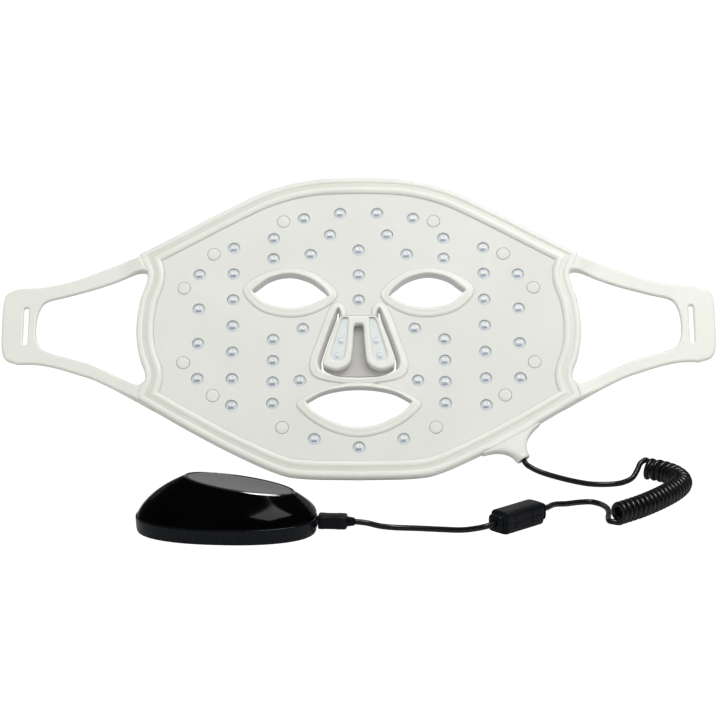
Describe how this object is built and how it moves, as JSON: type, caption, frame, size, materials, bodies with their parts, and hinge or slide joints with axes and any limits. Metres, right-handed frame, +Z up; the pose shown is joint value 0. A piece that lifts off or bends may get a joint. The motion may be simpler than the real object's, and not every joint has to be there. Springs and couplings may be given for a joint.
{
  "type": "led face mask",
  "caption": "Soft light-therapy face mask with eye, mouth and nose openings, slotted ear loops, and a corded hand controller.",
  "frame": {"origin": "on the table, under the middle of the box round the mask and the controller, not counting the cord and what is on it", "axes": "+Z up, +X to the viewer's right along the mask's width, +Y away from the viewer, from the controller to the leaning mask's back"},
  "size_m": [0.4098, 0.2272, 0.1575],
  "materials": {
    "silicone": "matt off-white moulded silicone",
    "adhesive": "slightly yellow cured silicone adhesive",
    "clear_silicone": "clear silicone with a cool tint",
    "circuit_film": "flexible circuit film",
    "gloss_black": "high gloss black",
    "satin_grey": "satin dark grey",
    "matte_black": "matt black",
    "cord_jacket": "smooth black jacket",
    "ferrite": "sintered ceramic, dark grey",
    "plated_steel": "pale gold plating",
    "circuit_board": "green solder mask",
    "battery_wrap": "blue film wrap",
    "foot_rubber": "matt black rubber"
  },
  "bodies": {
    "root": {"outer_tray": "silicone", "face_panel": "silicone", "perimeter_seal": "adhesive", "circuit_sheet": "circuit_film", "led_strip_forehead_left": "clear_silicone", "led_strip_forehead_right": "clear_silicone", "led_strip_outer_left": "clear_silicone", "led_strip_outer_right": "clear_silicone", "led_strip_temple_left": "clear_silicone", "led_strip_temple_right": "clear_silicone", "led_strip_cheek_left": "clear_silicone", "led_strip_cheek_right": "clear_silicone", "led_strip_centre": "clear_silicone", "led_strip_chin": "clear_silicone", "bonding_stud_01": "clear_silicone", "bonding_stud_02": "clear_silicone", "bonding_stud_03": "clear_silicone", "bonding_stud_04": "clear_silicone", "bonding_stud_05": "clear_silicone", "bonding_stud_06": "clear_silicone", "bonding_stud_07": "clear_silicone", "bonding_stud_08": "clear_silicone", "bonding_stud_09": "clear_silicone", "bonding_stud_10": "clear_silicone", "bonding_stud_11": "clear_silicone", "bonding_stud_12": "clear_silicone", "cable_boot": "silicone", "cable_core": "cord_jacket", "cord_lead": "cord_jacket", "cord_coil": "cord_jacket", "cord_run": "cord_jacket", "ferrite_base": "matte_black", "ferrite_core_base": "ferrite", "plug_body": "matte_black", "plug_shell": "plated_steel", "plug_relief": "matte_black"},
    "nose_flap": {"nose_flap": "silicone", "nose_insert_left": "clear_silicone", "nose_insert_right": "clear_silicone", "led_strip_nose_left": "clear_silicone", "led_strip_nose_right": "clear_silicone"},
    "ear_left": {"ear_loop_left": "silicone"},
    "ear_right": {"ear_loop_right": "silicone"},
    "ferrite_cover": {"ferrite_cover": "matte_black", "ferrite_core_cover": "ferrite"},
    "controller": {"controller_base": "gloss_black", "controller_dome": "gloss_black", "controller_board": "circuit_board", "battery_cell": "battery_wrap", "charge_socket": "plated_steel", "tact_switch": "matte_black", "base_screw_1": "plated_steel", "base_screw_2": "plated_steel", "rubber_foot_1": "foot_rubber", "rubber_foot_2": "foot_rubber", "rubber_foot_3": "foot_rubber", "rubber_foot_4": "foot_rubber"},
    "power_key": {"power_key": "satin_grey"}
  },
  "joints": [
    {"name": "nose_flap_flex", "type": "hinge", "parent": "root", "child": "nose_flap", "pos_m": [0, 0.06475, 0.08112], "axis": [1, 0, 0], "range_deg": [0, 30], "stiffness_Nm_per_rad": 0.05},
    {"name": "ear_left_flex", "type": "hinge", "parent": "root", "child": "ear_left", "pos_m": [-0.132, 0.05677, 0.07824], "axis": [0, 0.5592, 0.829], "range_deg": [0, 60], "stiffness_Nm_per_rad": 0.05},
    {"name": "ear_right_flex", "type": "hinge", "parent": "root", "child": "ear_right", "pos_m": [0.132, 0.05677, 0.07824], "axis": [0, -0.5592, -0.829], "range_deg": [0, 60], "stiffness_Nm_per_rad": 0.05},
    {"name": "ferrite_clip_open", "type": "hinge", "parent": "root", "child": "ferrite_cover", "pos_m": [0.07874, -0.07694, 0.0062], "axis": [-0.712, -0.7021, 0], "range_deg": [0, 110]},
    {"name": "controller_unplug", "type": "slide", "parent": "root", "child": "controller", "axis": [-0.9962, 0.0872, 0], "range_m": [0, 0.012]},
    {"name": "power_key_press", "type": "slide", "parent": "controller", "child": "power_key", "axis": [-0.1386, 0.0121, -0.9903], "range_m": [0, 0.0005], "stiffness_N_per_m": 600, "springref_m": -0.0005}
  ]
}
